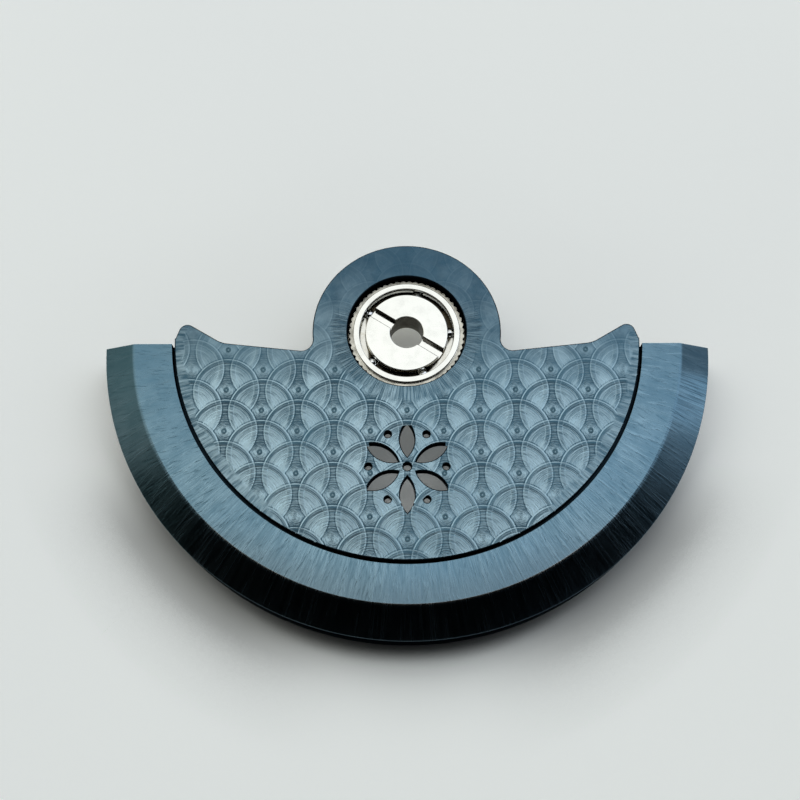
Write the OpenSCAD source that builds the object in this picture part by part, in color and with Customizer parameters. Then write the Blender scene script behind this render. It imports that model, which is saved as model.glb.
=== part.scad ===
// Automatic watch rotor: a heavy half rim under a pierced carrier plate, turning on a ball bearing.
// Origin on the spin axis at the foot of the bearing, +Z up, the weight hangs towards -Y.

/* [Rim] */
// Outer radius of the rim
rim_r = 13.2; // [12.4:0.1:14]
// Height of the rim from its underside to its flat top
rim_h = 2.2; // [2.1:0.05:2.6]
// How far the rim's underside hangs below the foot of the bearing
rim_drop = 0.8; // [0.7:0.05:0.9]
// Width of the sloping band outside the flat top
slope_w = 1.37; // [1:0.05:1.8]
// How far the sloping band falls towards the outer wall
slope_drop = 0.6; // [0.3:0.05:0.9]
// Width of the flat top between the slope and the groove
flat_w = 1.63; // [1.2:0.05:2]
// Distance from the spin axis down to the straight ends of the rim
cut_y = 0.6; // [0.4:0.05:0.9]
// How far the ledge reaches in under the plate
ledge_w = 1.3; // [1.1:0.05:1.8]
// Thickness of the ledge
ledge_t = 0.6; // [0.45:0.05:0.7]
// How far the deep foot stands back from the groove wall
foot_inset = 0.5; // [0.3:0.05:0.9]
// Bevel on the two lower edges of the foot
foot_bevel = 0.15; // [0.05:0.01:0.25]

/* [Plate] */
// Thickness of the carrier plate
plate_t = 0.5; // [0.4:0.02:0.6]
// How far the top of the plate stands above the flat top of the rim
plate_rise = 0.1; // [0:0.01:0.2]
// Width of the groove between the plate and the rim
groove_w = 0.13; // [0.08:0.01:0.2]
// Width of the hub ring around the bearing hole
hub_w = 1.51; // [1.3:0.01:1.8]
// Radius of the fillet between the hub and the shoulder
hub_fillet_r = 0.5; // [0.3:0.05:0.8]
// Depth of the shoulder below the spin axis, measured beside the hub
shoulder_y = 0.95; // [0.7:0.05:1.2]
// Slope of the shoulder in degrees
shoulder_tilt = 6.2; // [3:0.2:8]
// Height of the ear tips above the spin axis
ear_top = 0.28; // [0.1:0.02:0.4]
// Radius of the ear tips
ear_tip_r = 0.36; // [0.3:0.01:0.42]
// Distance from the edge of the plate to the middle of an ear tip
ear_inset = 0.52; // [0.5:0.01:0.6]
// Slope of an ear's inner flank in degrees
ear_flank = 31; // [25:1:40]
// Lean of an ear's outer flank from the vertical in degrees
ear_lean = 19; // [15:1:24]
// Radius of the blend between an ear and the shoulder
ear_blend_r = 1.2; // [0.8:0.1:1.6]
// Height of the small nick beside an ear above the ends of the rim
nick_rise = 0.24; // [0.18:0.01:0.3]

/* [Pierced rosette] */
// Number of petals
petal_count = 6; // [4:1:7]
// Distance of the rosette's centre below the spin axis
rosette_y = 6.15; // [5.6:0.05:6.6]
// Length of a petal window
petal_l = 1.55; // [1.2:0.05:1.7]
// Width of a petal window
petal_w = 0.62; // [0.4:0.02:0.7]
// Distance from the rosette's centre to the inner tip of a petal
petal_start = 0.42; // [0.38:0.02:0.5]
// Radius of the round window in the middle
rosette_eye_r = 0.17; // [0.1:0.01:0.2]
// Radius of the small round windows between the petals
rosette_pip_r = 0.14; // [0.08:0.01:0.18]
// Distance from the rosette's centre to the small round windows
rosette_pip_y = 1.62; // [1.5:0.02:1.8]

/* [Rivets] */
// Angle between neighbouring rivets in degrees
rivet_pitch = 30; // [20:1:31]
// Radius of a rivet shank
rivet_r = 0.3; // [0.22:0.01:0.36]
// Radius of a rivet head
rivet_head_r = 0.48; // [0.42:0.01:0.52]
// Thickness of a rivet head
rivet_head_t = 0.2; // [0.12:0.01:0.3]
// Depth of the blind rivet holes in the plate
rivet_depth = 0.28; // [0.2:0.01:0.32]
// Gap around a rivet shank
rivet_fit = 0.01; // [0.01:0.005:0.02]

/* [Ball bearing] */
// Depth of the bearing's top below the plate's top
bearing_recess = 0.25; // [0.15:0.01:0.35]
// Diameter of a ball
ball_d = 0.5; // [0.46:0.01:0.54]
// Radius of the circle through the ball centres
ball_circle_r = 1.93; // [1.86:0.01:2]
// Width of the open ring between the cone and the outer race
race_gap = 0.28; // [0.26:0.01:0.32]
// Gap between a ball and its tracks
track_fit = 0.015; // [0.01:0.005:0.02]
// Width of the outer race's bright top ring
race_ring_w = 0.26; // [0.24:0.01:0.32]
// Wall of the outer race behind the ball groove
race_wall = 0.105; // [0.09:0.005:0.125]
// Height of the straight land between the lower lip and the race's underside
race_land = 0.27; // [0.24:0.01:0.35]
// Height of the straight land on the upper cone
cone_land = 0.32; // [0.3:0.01:0.4]
// Angle of the cone faces in degrees
cone_angle = 45; // [43:1:47]

/* [Toothed rim of the outer race] */
// Number of fine teeth
knurl_count = 56; // [48:1:64]
// Height of a fine tooth
knurl_h = 0.07; // [0.05:0.01:0.1]
// Width of the plain step inside the teeth
knurl_step = 0.15; // [0.12:0.01:0.2]
// Depth of the toothed rim's top below the bright ring
knurl_drop = 0.14; // [0.1:0.01:0.2]
// Gap between the teeth and the hole in the plate
knurl_fit = 0.03; // [0.01:0.005:0.04]
// Wall of the plate's collar around the bearing
collar_w = 0.5; // [0.4:0.05:0.8]

/* [Driving gear] */
// Module of the teeth
gear_module = 0.14; // [0.135:0.005:0.15]
// Width of the gear's ring between its seat and the roots of its teeth
gear_ring_w = 0.32; // [0.25:0.01:0.4]
// Thickness of the gear
gear_t = 0.35; // [0.3:0.01:0.4]
// Gap between the gear and its seat
gear_fit = 0.01; // [0.01:0.005:0.02]

/* [Inner race] */
// Radius of the screw hole through the inner race
bore_r = 0.73; // [0.6:0.01:0.8]
// Outer radius of the core's sleeve
sleeve_r = 1.12; // [1.05:0.01:1.2]
// Thickness of the upper cone above the sleeve
cone_cover = 0.42; // [0.38:0.01:0.46]
// Gap between the upper cone and the sleeve
sleeve_fit = 0.01; // [0.01:0.005:0.02]
// Radius of the foot that stands on the movement
foot_r = 1.35; // [1.2:0.01:1.45]
// Width of the driver slot
slot_w = 0.42; // [0.34:0.01:0.5]
// Depth of the driver slot
slot_depth = 0.28; // [0.2:0.01:0.3]
// Direction of the driver slot in degrees
slot_turn = -33; // [-90:1:90]
// Bevel on the visible bearing edges
bearing_bevel = 0.03; // [0.01:0.005:0.04]

/* [Ball cage] */
// Gap between the cage and the two races
cage_fit = 0.04; // [0.03:0.005:0.05]
// Gap between a ball and its pocket
pocket_fit = 0.02; // [0.015:0.005:0.03]
// Thickness of the cage ring under the pockets
cage_ring_t = 0.14; // [0.1:0.01:0.16]
// Height of the cage fingers above the ball centres
cage_finger_h = 0.13; // [0.12:0.01:0.16]
// Turn of the first ball from +X in degrees
ball_turn = 4; // [0:1:71]

/* [Hidden] */

// As many rivets and balls as there are nodes for them
rivet_count = 6;
ball_count = 5;

// Facets of a circle in previews, and how far a cutter runs past what it cuts
$fn = 96;
over = 0.5;
// How far the blends of the plate's outline start inside its material
blend_root = 0.4;

// Levels, from the foot of the bearing
rim_z = -rim_drop;
rim_top = rim_z + rim_h;
plate_top = rim_top + plate_rise;
plate_z = plate_top - plate_t;
bearing_top = plate_top - bearing_recess;

// Radii of the rim and the plate
rim_flat_r = rim_r - slope_w;
rim_wall_r = rim_flat_r - flat_w;
plate_r = rim_wall_r - groove_w;
ledge_r = rim_wall_r - ledge_w;
foot_in_r = rim_wall_r + foot_inset;

// Bearing tracks: a cone pair inside, a round groove outside
ball_r = ball_d / 2;
cone_r = ball_circle_r - race_gap / 2;
lip_r = ball_circle_r + race_gap / 2;
cone_root_r = ball_circle_r - (ball_r + track_fit) / sin(cone_angle);
cone_rise = (cone_r - cone_root_r) * tan(cone_angle);
groove_r = ball_r + track_fit;
lip_rise = sqrt(pow(groove_r, 2) - pow(race_gap / 2, 2));
ball_z = bearing_top - cone_land - cone_rise;
race_z = ball_z - lip_rise - race_land;

// Outer race and its teeth
race_r = lip_r + race_ring_w;
knurl_root_r = race_r + knurl_step;
knurl_tip_r = knurl_root_r + knurl_h;
knurl_top = bearing_top - knurl_drop;
knurl_z = race_z + gear_t;
hole_r = knurl_tip_r + knurl_fit;
hub_r = hole_r + hub_w;
collar_r = hole_r + collar_w;
collar_z = knurl_z + knurl_fit;

// Driving gear: as many teeth as fit around its ring, tips one module out, roots 1.2 modules in
gear_seat_r = ball_circle_r + groove_r + race_wall;
gear_dip = 1.2 * gear_module;
gear_teeth = round(2 * (gear_seat_r + gear_ring_w + gear_dip) / gear_module);
gear_pitch_r = gear_module * gear_teeth / 2;
gear_tip_r = gear_pitch_r + gear_module;
gear_root_r = gear_pitch_r - gear_dip;
gear_pressure = 20;
gear_flank_steps = 3;
// The toothed rim of the race starts inside the gear's seat and grows out of the race halfway up
knurl_in_r = (gear_seat_r + ball_circle_r + groove_r) / 2;
knurl_mid = (knurl_z + knurl_top) / 2;

// Inner race
sleeve_top = bearing_top - cone_cover;

// Ball cage
pocket_r = ball_r + pocket_fit;
cage_in_r = cone_r + cage_fit;
cage_out_r = lip_r - cage_fit;
cage_z = ball_z - pocket_r - cage_ring_t;
cage_top = ball_z + cage_finger_h;

// Rivets stand in the middle of the stretch where the plate lies on the ledge
rivet_line_r = (ledge_r + plate_r) / 2;

// Top edge of the plate on the +X side: shoulder line, ear flanks and tip
shoulder_x = hub_r + hub_fillet_r;
shoulder_dir = [cos(shoulder_tilt), sin(shoulder_tilt)];
shoulder_up = [-sin(shoulder_tilt), cos(shoulder_tilt)];
shoulder_pt = [shoulder_x, -shoulder_y];
shoulder_foot = [0, -shoulder_y - shoulder_x * tan(shoulder_tilt)];
ear_pt = [plate_r - ear_inset, ear_top - ear_tip_r];
ear_in_pt = ear_pt + ear_tip_r * [-sin(ear_flank), cos(ear_flank)];
ear_out_pt = ear_pt + ear_tip_r * [cos(ear_lean), sin(ear_lean)];
nick_y = -cut_y + nick_rise;
nick_pt = [ear_out_pt[0] + (ear_out_pt[1] - nick_y) * tan(ear_lean), nick_y];
// Where the inner flank meets the shoulder
ear_run = (ear_in_pt[1] + shoulder_y - (ear_in_pt[0] - shoulder_x) * tan(shoulder_tilt))
    / (tan(ear_flank) - tan(shoulder_tilt));
ear_root_pt = ear_in_pt - ear_run * [1, tan(ear_flank)];
// Centre of the fillet between the hub and the shoulder
fillet_level = shoulder_pt * shoulder_up + hub_fillet_r;
fillet_along = sqrt(pow(hub_r + hub_fillet_r, 2) - pow(fillet_level, 2));
fillet_pt = fillet_level * shoulder_up + fillet_along * shoulder_dir;

function polar(r, a) = [r * cos(a), r * sin(a)];
function ball_angle(i) = ball_turn + i * 360 / ball_count;
function rivet_angle(i) = -90 + (i - (rivet_count - 1) / 2) * rivet_pitch;

// Involute of a circle as an angle in degrees, for a pressure angle in degrees
function involute(a) = tan(a) * 180 / PI - a;
function flank_angle(r, base_r) =
    90 / gear_teeth + involute(gear_pressure) - (r > base_r ? involute(acos(base_r / r)) : 0);

module mirrored() {
    children();
    mirror([1, 0, 0]) children();
}

// Fills a concave corner with a round blend; the corner's sides run towards angles a and b.
// The blend's root lies behind the corner, inside the material.
module corner_blend(corner, a, b, r) {
    half = (b - a) / 2;
    reach = r / tan(half);
    centre = corner + polar(r / sin(half), a + half);
    root = corner - polar(blend_root, a + half);
    difference() {
        polygon([root, corner + polar(reach, a), centre, corner + polar(reach, b)]);
        translate(centre) circle(r);
    }
}

module plate_side() {
    low = -plate_r - over;
    polygon([
        [0, low], [-low, low], [-low, nick_y], nick_pt,
        ear_out_pt, ear_pt, ear_in_pt, ear_root_pt, shoulder_foot
    ]);
    translate(ear_pt) circle(ear_tip_r);
    corner_blend(ear_root_pt, ear_flank, 180 + shoulder_tilt, ear_blend_r);
}

module hub_fillet() {
    difference() {
        polygon([
            shoulder_foot - [0, blend_root], fillet_pt - hub_fillet_r * shoulder_up,
            fillet_pt, fillet_pt * hub_r / (hub_r + hub_fillet_r), [0, 0]
        ]);
        translate(fillet_pt) circle(hub_fillet_r);
    }
}

module plate_outline() {
    intersection() {
        circle(plate_r);
        mirrored() plate_side();
    }
    mirrored() hub_fillet();
    circle(hub_r);
}

// Lens between two equal arcs, standing on its lower tip
module petal_window() {
    arc_r = (pow(petal_l, 2) + pow(petal_w, 2)) / (4 * petal_w);
    offset_x = arc_r - petal_w / 2;
    translate([0, petal_start + petal_l / 2]) intersection() {
        translate([offset_x, 0]) circle(arc_r);
        translate([-offset_x, 0]) circle(arc_r);
    }
}

module rosette() {
    translate([0, -rosette_y]) {
        circle(rosette_eye_r);
        for (i = [0 : petal_count - 1]) rotate(i * 360 / petal_count) {
            petal_window();
            rotate(180 / petal_count) translate([0, rosette_pip_y]) circle(rosette_pip_r);
        }
    }
}

module rivet_place(i) {
    rotate(rivet_angle(i)) translate([rivet_line_r, 0, 0]) children();
}

module rotor_plate() {
    color([0.44, 0.56, 0.64]) difference() {
        union() {
            translate([0, 0, plate_z]) linear_extrude(plate_t) difference() {
                plate_outline();
                rosette();
            }
            translate([0, 0, collar_z]) cylinder(r = collar_r, h = plate_top - plate_t / 2 - collar_z);
        }
        translate([0, 0, -over]) cylinder(r = hole_r, h = plate_top + 2 * over);
        for (i = [0 : rivet_count - 1]) rivet_place(i)
            translate([0, 0, plate_z - over]) cylinder(r = rivet_r + rivet_fit, h = rivet_depth + over);
    }
}

module rim_section() {
    polygon([
        [ledge_r, plate_z - ledge_t],
        [foot_in_r, plate_z - ledge_t],
        [foot_in_r, rim_z + foot_bevel],
        [foot_in_r + foot_bevel, rim_z],
        [rim_r - foot_bevel, rim_z],
        [rim_r, rim_z + foot_bevel],
        [rim_r, rim_top - slope_drop],
        [rim_flat_r, rim_top],
        [rim_wall_r, rim_top],
        [rim_wall_r, plate_z],
        [ledge_r, plate_z]
    ]);
}

module rim_weight() {
    color([0.3, 0.42, 0.52]) difference() {
        intersection() {
            rotate_extrude() rim_section();
            translate([-rim_r - over, -rim_r - over, rim_z - over])
                cube([2 * (rim_r + over), rim_r + over - cut_y, rim_h + 2 * over]);
        }
        for (i = [0 : rivet_count - 1]) rivet_place(i)
            translate([0, 0, rim_z]) cylinder(r = rivet_r + rivet_fit, h = rim_h);
    }
}

module weight_rivet(i) {
    head_z = plate_z - ledge_t - rivet_head_t;
    shank_l = rivet_head_t + ledge_t + rivet_depth - rivet_fit;
    color([0.62, 0.64, 0.66]) rivet_place(i) translate([0, 0, head_z]) {
        cylinder(r = rivet_head_r, h = rivet_head_t);
        cylinder(r = rivet_r, h = shank_l);
    }
}

module race_section() {
    difference() {
        polygon([
            [lip_r, race_z],
            [gear_seat_r, race_z],
            [gear_seat_r, knurl_mid],
            [race_r, knurl_mid],
            [race_r, bearing_top - bearing_bevel],
            [race_r - bearing_bevel, bearing_top],
            [lip_r + bearing_bevel, bearing_top],
            [lip_r, bearing_top - bearing_bevel]
        ]);
        translate([ball_circle_r, ball_z]) circle(groove_r);
    }
}

module knurl_outline() {
    pitch = 360 / knurl_count;
    polygon([
        for (i = [0 : knurl_count - 1], s = [[0, 0], [0.36, 1], [0.64, 1]])
            polar(knurl_root_r + s[1] * knurl_h, (i + s[0]) * pitch)
    ]);
}

module outer_race() {
    color([0.86, 0.86, 0.84]) {
        rotate_extrude() race_section();
        translate([0, 0, knurl_z]) linear_extrude(knurl_top - knurl_z) difference() {
            knurl_outline();
            circle(knurl_in_r);
        }
    }
}

module gear_outline() {
    base_r = gear_pitch_r * cos(gear_pressure);
    step = (gear_tip_r - gear_root_r) / gear_flank_steps;
    polygon([
        for (i = [0 : gear_teeth - 1], side = [-1, 1], k = [0 : gear_flank_steps])
            let (r = side < 0 ? gear_root_r + k * step : gear_tip_r - k * step)
            polar(r, i * 360 / gear_teeth + side * flank_angle(r, base_r))
    ]);
}

module drive_gear() {
    color([0.8, 0.78, 0.7]) translate([0, 0, race_z]) linear_extrude(gear_t) difference() {
        gear_outline();
        circle(gear_seat_r + gear_fit);
    }
}

module inner_race_core() {
    color([0.8, 0.8, 0.78]) rotate_extrude() polygon([
        [bore_r, 0],
        [foot_r, 0],
        [foot_r, race_z],
        [cone_r, race_z],
        [cone_r, ball_z - cone_rise],
        [cone_root_r, ball_z],
        [sleeve_r, ball_z],
        [sleeve_r, sleeve_top],
        [bore_r, sleeve_top]
    ]);
}

module inner_race_cone() {
    color([0.93, 0.92, 0.88]) difference() {
        rotate_extrude() polygon([
            [sleeve_r + sleeve_fit, ball_z],
            [cone_root_r, ball_z],
            [cone_r, ball_z + cone_rise],
            [cone_r, bearing_top - bearing_bevel],
            [cone_r - bearing_bevel, bearing_top],
            [bore_r + bearing_bevel, bearing_top],
            [bore_r, bearing_top - bearing_bevel],
            [bore_r, sleeve_top],
            [sleeve_r + sleeve_fit, sleeve_top]
        ]);
        rotate(slot_turn) translate([-cone_r - over, -slot_w / 2, bearing_top - slot_depth])
            cube([2 * (cone_r + over), slot_w, slot_depth + over]);
    }
}

module ball_place(i) {
    rotate(ball_angle(i)) translate([ball_circle_r, 0, ball_z]) children();
}

module ball_cage() {
    color([0.7, 0.62, 0.42]) difference() {
        translate([0, 0, cage_z]) cylinder(r = cage_out_r, h = cage_top - cage_z);
        translate([0, 0, cage_z - over]) cylinder(r = cage_in_r, h = cage_top - cage_z + 2 * over);
        for (i = [0 : ball_count - 1]) ball_place(i)
            translate([-race_gap, 0, 0]) rotate([0, 90, 0]) cylinder(r = pocket_r, h = 2 * race_gap);
    }
}

module ball(i) {
    color([0.75, 0.77, 0.8]) ball_place(i) sphere(ball_r);
}

rotor_plate();
rim_weight();
weight_rivet(0);  // weight_rivet_1
weight_rivet(1);  // weight_rivet_2
weight_rivet(2);  // weight_rivet_3
weight_rivet(3);  // weight_rivet_4
weight_rivet(4);  // weight_rivet_5
weight_rivet(5);  // weight_rivet_6
outer_race();
drive_gear();
inner_race_core();
inner_race_cone();
ball_cage();
ball(0);  // ball_1
ball(1);  // ball_2
ball(2);  // ball_3
ball(3);  // ball_4
ball(4);  // ball_5
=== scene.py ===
import bmesh
import bpy
import math
from mathutils import Matrix, Vector, geometry


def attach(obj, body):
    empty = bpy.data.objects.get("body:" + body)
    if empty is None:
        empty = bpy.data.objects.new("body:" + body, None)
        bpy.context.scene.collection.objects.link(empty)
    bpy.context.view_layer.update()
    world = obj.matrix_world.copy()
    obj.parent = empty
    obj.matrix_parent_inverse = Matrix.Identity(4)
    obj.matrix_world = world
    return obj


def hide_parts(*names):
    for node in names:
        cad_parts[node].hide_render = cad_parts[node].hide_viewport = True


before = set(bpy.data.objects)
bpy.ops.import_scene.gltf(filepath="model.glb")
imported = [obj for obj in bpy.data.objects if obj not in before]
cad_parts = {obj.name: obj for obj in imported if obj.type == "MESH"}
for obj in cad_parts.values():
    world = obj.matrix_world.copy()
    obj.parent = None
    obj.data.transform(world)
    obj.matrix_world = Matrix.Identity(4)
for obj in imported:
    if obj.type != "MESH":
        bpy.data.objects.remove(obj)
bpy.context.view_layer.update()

# Automatic watch rotor. All shapes are drawn in millimetres, +Z up, with the spin axis at the origin.
MM = 0.001

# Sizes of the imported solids
RIM_R = 13.2
RIM_Z = -0.8
RIM_TOP = 1.4
SLOPE_DROP = 0.6
FLAT_R = 11.83
WALL_R = 10.2
LEDGE_R = 8.9
FOOT_IN_R = 10.7
FOOT_BEVEL = 0.15
CUT_Y = -0.6
LEDGE_BOTTOM = 0.4
PLATE_TOP = 1.5
PLATE_Z = 1.0
PLATE_R = 10.07
HOLE_R = 2.58
HUB_R = 4.09
COLLAR_R = 3.08
COLLAR_Z = 0.58023
HUB_FILLET_R = 0.5
SHOULDER_Y = 0.95
SHOULDER_TILT = 6.2
EAR_TOP = 0.28
EAR_TIP_R = 0.36
EAR_INSET = 0.52
EAR_FLANK = 31
EAR_LEAN = 19
EAR_BLEND_R = 1.2
NICK_Y = -0.36
ROSETTE_Y = -6.15
PETALS = 6
PETAL_L = 1.55
PETAL_W = 0.62
PETAL_START = 0.42
EYE_R = 0.17
PIP_R = 0.14
PIP_Y = 1.62
RIVETS = 6
RIVET_PITCH = 30
RIVET_LINE_R = 9.485
RIVET_R = 0.3
RIVET_HEAD_R = 0.48
RIVET_HEAD_T = 0.2
RIVET_END = 1.27
BEARING_TOP = 1.25
BALL_R = 0.25
BALL_CIRCLE_R = 1.93
BALL_Z = 0.69523
BALLS = 5
BALL_TURN = 4
# Turns in degrees of the two cage fingers that carry a painted highlight
PAINTED_LIT_FINGERS = (184, 328)
GROOVE_R = 0.265
CONE_R = 1.79
CONE_ROOT_R = 1.55523
CONE_RISE = 0.23477
LIP_R = 2.07
RACE_R = 2.33
RACE_Z = 0.20023
KNURL_ROOT_R = 2.48
KNURL_TIP_R = 2.55
KNURL_TOP = 1.11
KNURL_Z = 0.55023
KNURLS = 56
GEAR_SEAT_R = 2.3
GEAR_BORE_R = 2.31
GEAR_TEETH = 40
GEAR_MODULE = 0.14
PRESSURE_ANGLE = 20
GEAR_T = 0.35
BORE_R = 0.73
SLEEVE_R = 1.12
SLEEVE_FIT = 0.01
SLEEVE_TOP = 0.83
FOOT_R = 1.35
SLOT_W = 0.42
SLOT_DEPTH = 0.28
SLOT_TURN = -33
SLOT_BEVEL = 0.027

# Engraving of the plate: staggered overlapping circles, with a pip where no other covers the middle
COLUMN_PITCH = 1.54
ROW_PITCH = 1.84
RING_R = 1.4
BAND_R = 1.29
COLUMNS = range(-7, 8)
ROWS = range(-7, 3)
RELIEF = 0.006
# Across a band: distance from its middle line and share of its height
BAND_SECTION = ((-0.125, -0.5), (-0.07, 1), (0.07, 1), (0.125, -0.5))
PIP_SECTION = ((-0.05, -0.3), (-0.03, 0.5), (0, 1), (0.03, 0.5), (0.05, -0.3))
PIP_RING_R = 0.08
PIP_HEIGHT = 0.6
# How far the bands stay off the plate's edge, the bearing's hole and the windows
FIELD_EDGE = 0.08
BORE_EDGE = 0.16
WINDOW_EDGE = 0.12
# How far the pips stay off the hole and the plate's edge
PIP_TO_HOLE = 0.9
PIP_TO_EDGE = 0.7
# Distance over which a band sinks away at its ends
FADE_W = 0.5
LEAST_HEIGHT = 0.05
LEAST_POINTS = 8
# Lines drawn along each circle: radius and half width
OUTER_LINE = (RING_R - 0.015, 0.034)
INNER_LINE = (RING_R - 0.22, 0.022)
RIM_LINE = (RING_R + 0.04, 0.035)
ARC_LINE = (RING_R - 0.45, 0.035)
# Edges that turn more than this stay sharp
SHARP = math.radians(75)
# Radii of rounded edges
PLATE_BEVEL = 0.045
RIM_BEVEL = 0.03
GROOVE_BEVEL = 0.015
RACE_BEVEL = 0.03
# Points closer to the axis than this would fold the mesh
AXIS_R = 0.001

WORLD_STRENGTH = 1.2
LAMP_PLACE = (-10, 240, 190)
LAMP_SIZE = (620, 190)
LAMP_POWER = 0.47
# Share of the floor's brightness that only the eye and reflections get
FLOOR_GLOW = 0.13
FLOOR_SIZE = 1500
# Reach and depth of the shade where the rim stands on the floor, and of the wide one beside it
SHADOW_W = 1.5
SHADOW_DEPTH = 0.92
WIDE_SHADOW_W = 5
WIDE_SHADOW_DEPTH = 0.47

# Camera in pixels, degrees and millimetres
CAMERA_F = 1059.65
CAMERA_AZ = 1.28
CAMERA_EL = 70.52
CAMERA_ROLL = -1.31
CAMERA_D = 44.93
CAMERA_AIM = (-0.72, -3.23, 1.5)
CAMERA_SHIFT = 10
FRAME_PX = 800
SENSOR = 36


def polar(r, degrees):
    a = math.radians(degrees)
    return Vector((r * math.cos(a), r * math.sin(a)))


def arc(centre, r, start, end, step=3.0):
    """Points on a circle from one angle to another, in degrees, both ends included."""
    count = max(2, math.ceil(abs(end - start) / step))
    return [Vector(centre) + polar(r, start + (end - start) * i / count) for i in range(count + 1)]


def angle_of(v):
    return math.degrees(math.atan2(v.y, v.x))


def shoulder_line():
    """A point on the shoulder and the directions along it and up from it."""
    start = Vector((HUB_R + HUB_FILLET_R, -SHOULDER_Y))
    return start, polar(1, SHOULDER_TILT), polar(1, SHOULDER_TILT + 90)


def ear_blend():
    """Arc between the shoulder and the inner flank of the ear, from the flank down to the shoulder."""
    start, along, _ = shoulder_line()
    ear = Vector((PLATE_R - EAR_INSET, EAR_TOP - EAR_TIP_R))
    tip = ear + polar(EAR_TIP_R, EAR_FLANK + 90)
    corner = geometry.intersect_line_line_2d(
        start, start + 20 * along, tip - polar(20, EAR_FLANK), tip + polar(1, EAR_FLANK))
    half = (180 + SHOULDER_TILT - EAR_FLANK) / 2
    centre = corner + polar(EAR_BLEND_R / math.sin(math.radians(half)), EAR_FLANK + half)
    return arc(centre, EAR_BLEND_R, EAR_FLANK - 90, SHOULDER_TILT - 90)


def hub_fillet():
    """Fillet from the shoulder up to the hub, and the angle at which it meets the hub."""
    start, along, up = shoulder_line()
    level = start.dot(up) + HUB_FILLET_R
    centre = level * up + math.sqrt((HUB_R + HUB_FILLET_R) ** 2 - level ** 2) * along
    return arc(centre, HUB_FILLET_R, angle_of(-up), angle_of(-centre) - 360, 6), angle_of(centre)


def plate_side():
    """Right half of the plate's outline, from the bottom of the rim up to the top of the hub."""
    ear = Vector((PLATE_R - EAR_INSET, EAR_TOP - EAR_TIP_R))
    out = ear + polar(EAR_TIP_R, EAR_LEAN)
    nick = Vector((out.x + (out.y - NICK_Y) * math.tan(math.radians(EAR_LEAN)), NICK_Y))
    fillet, meet = hub_fillet()
    side = arc((0, 0), PLATE_R, -90, math.degrees(math.asin(NICK_Y / PLATE_R)), 0.75)
    side.append(nick)
    side += arc(ear, EAR_TIP_R, EAR_LEAN, EAR_FLANK + 90, 6)
    side += ear_blend()
    side += fillet
    side += arc((0, 0), HUB_R, meet, 90, 1.5)[1:]
    return side


def plate_outline():
    side = plate_side()
    return side[:-1] + [Vector((-p.x, p.y)) for p in reversed(side[1:])]


def petal(turn):
    """Lens between two equal arcs that points away from the rosette's middle."""
    r = (PETAL_L ** 2 + PETAL_W ** 2) / (4 * PETAL_W)
    half = math.degrees(math.asin(PETAL_L / 2 / r))
    middle = Vector((0, PETAL_START + PETAL_L / 2))
    shift = Vector((r - PETAL_W / 2, 0))
    right = arc(middle - shift, r, -half, half, 4)
    left = arc(middle + shift, r, 180 - half, 180 + half, 4)
    spin = Matrix.Rotation(math.radians(turn), 2)
    return [spin @ p + Vector((0, ROSETTE_Y)) for p in right[:-1] + left[:-1]]


def windows():
    """Outlines of all the windows of the rosette."""
    centre = Vector((0, ROSETTE_Y))
    found = [arc(centre, EYE_R, 0, 360, 10)[:-1]]
    for i in range(PETALS):
        found.append(petal(i * 360 / PETALS))
        pip = centre + polar(PIP_Y, 90 + (i + 0.5) * 360 / PETALS)
        found.append(arc(pip, PIP_R, 0, 360, 10)[:-1])
    return found


def inset(loop, distance):
    """The loop moved by a distance to the left of its direction."""
    count = len(loop)
    moved = []
    for i, p in enumerate(loop):
        before = (p - loop[i - 1]).normalized()
        after = (loop[(i + 1) % count] - p).normalized()
        normal = Vector((-before.y - after.y, before.x + after.x))
        if normal.length < 1e-6:
            normal = Vector((-before.y, before.x))
        normal.normalize()
        cosine = max(0.5, normal.dot(Vector((-before.y, before.x))))
        moved.append(p + normal * distance / cosine)
    return moved


def inside(p, loop):
    hit = False
    for i, a in enumerate(loop):
        b = loop[i - 1]
        if (a.y > p.y) != (b.y > p.y) and p.x < (b.x - a.x) * (p.y - a.y) / (b.y - a.y) + a.x:
            hit = not hit
    return hit


class Body:
    """Collects points in millimetres and faces with a material number each."""

    def __init__(self):
        self.points = []
        self.faces = []
        self.kinds = []
        self.flat = []

    def loop(self, points, z):
        first = len(self.points)
        self.points += [(p[0], p[1], z) for p in points]
        return list(range(first, len(self.points)))

    def face(self, corners, kind=0, flat=False):
        self.faces.append(corners)
        self.kinds.append(kind)
        self.flat.append(flat)

    def bridge(self, low, high, kind=0):
        """Quads between two closed loops of the same length."""
        count = len(low)
        for i in range(count):
            j = (i + 1) % count
            self.face((low[i], low[j], high[j], high[i]), kind)

    def cap(self, loops, kind=0, down=False):
        """Flat face bounded by the first loop, with the others as holes."""
        flat = [index for loop in loops for index in loop]
        shapes = [[Vector(self.points[i]) for i in loop] for loop in loops]
        for triangle in geometry.tessellate_polygon(shapes):
            corners = [flat[i] for i in triangle]
            a, b, c = (Vector(self.points[i]) for i in corners)
            if ((b - a).cross(c - a).z > 0) == down:
                corners.reverse()
            self.face(corners, kind, True)

    def object(self, name, materials):
        mesh = bpy.data.meshes.new(name)
        mesh.from_pydata([[v * MM for v in p] for p in self.points], [], self.faces)
        mesh.polygons.foreach_set("material_index", self.kinds)
        mesh.polygons.foreach_set("use_smooth", [not flat for flat in self.flat])
        for material in materials:
            mesh.materials.append(material)
        mesh.validate()
        mesh.update()
        piece = bpy.data.objects.new(name, mesh)
        bpy.context.scene.collection.objects.link(piece)
        return piece


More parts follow.
